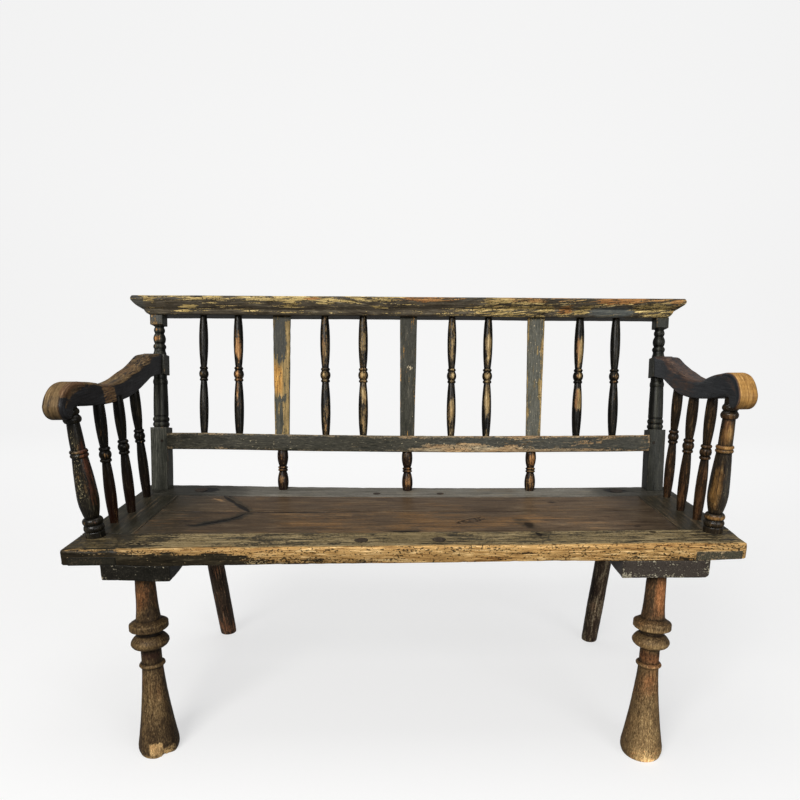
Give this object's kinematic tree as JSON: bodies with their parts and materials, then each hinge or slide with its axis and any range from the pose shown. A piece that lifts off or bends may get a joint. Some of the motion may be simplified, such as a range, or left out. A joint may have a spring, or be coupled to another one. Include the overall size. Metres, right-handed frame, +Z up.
{
  "type": "deacons bench",
  "caption": "Long wooden bench with a plank seat, low scrolled arms on turned posts, and a tall back of turned spindles and flat splats between a mid rail and a moulded crest rail.",
  "frame": {"origin": "on the floor, below the middle of the overall bounding box", "axes": "+Z up, +X towards the right-hand end as seen from the front, +Y towards the back"},
  "size_m": [1.325, 0.5588, 0.8999],
  "materials": {
    "crest_paint": "slate-green paint worn to ochre along the moulding",
    "frame_paint": "charcoal-green paint with fine vertical scratches",
    "spindle_paint": "near-black paint worn to ochre and brown",
    "arm_paint": "slate paint, golden bare wood on the handholds",
    "arm_post_paint": "black paint worn to orange-brown wood",
    "seat_wood": "dark brown worn finish, golden front edge",
    "plug_wood": "dark end-grain plugs",
    "batten_paint": "black paint with pale scratches",
    "front_leg_wood": "umber finish worn to brown wood",
    "rear_leg_wood": "dark brown",
    "peg_wood": "dark wood pegs and wedges",
    "hidden_wood": "bare wood inside the seat"
  },
  "bodies": {
    "root": {"crest_rail": "crest_paint", "mid_rail": "frame_paint", "back_post_left": "frame_paint", "back_post_right": "frame_paint", "back_spindle_1": "spindle_paint", "back_spindle_2": "spindle_paint", "back_spindle_3": "spindle_paint", "back_spindle_4": "spindle_paint", "back_spindle_5": "spindle_paint", "back_spindle_6": "spindle_paint", "back_spindle_7": "spindle_paint", "back_spindle_8": "spindle_paint", "back_splat_1": "frame_paint", "back_splat_2": "frame_paint", "back_splat_3": "frame_paint", "lower_spindle_1": "spindle_paint", "lower_spindle_2": "spindle_paint", "lower_spindle_3": "spindle_paint", "arm_left": "arm_paint", "arm_right": "arm_paint", "arm_post_left": "arm_post_paint", "arm_post_right": "arm_post_paint", "arm_spindle_left_1": "spindle_paint", "arm_spindle_left_2": "spindle_paint", "arm_spindle_left_3": "spindle_paint", "arm_spindle_right_1": "spindle_paint", "arm_spindle_right_2": "spindle_paint", "arm_spindle_right_3": "spindle_paint", "seat_front_rail": "seat_wood", "seat_back_rail": "seat_wood", "seat_end_rail_left": "seat_wood", "seat_end_rail_right": "seat_wood", "seat_board_front": "seat_wood", "seat_board_rear": "seat_wood", "seat_board_tongue": "hidden_wood", "batten_left": "batten_paint", "batten_right": "batten_paint", "front_leg_left": "front_leg_wood", "front_leg_right": "front_leg_wood", "rear_leg_left": "rear_leg_wood", "rear_leg_right": "rear_leg_wood", "rear_leg_wedges": "peg_wood", "seat_plugs": "plug_wood", "mid_rail_pegs": "peg_wood", "crest_pegs": "peg_wood", "arm_tenon_pegs": "peg_wood", "seat_frame_pegs": "peg_wood", "batten_pegs": "peg_wood"}
  },
  "joints": []
}
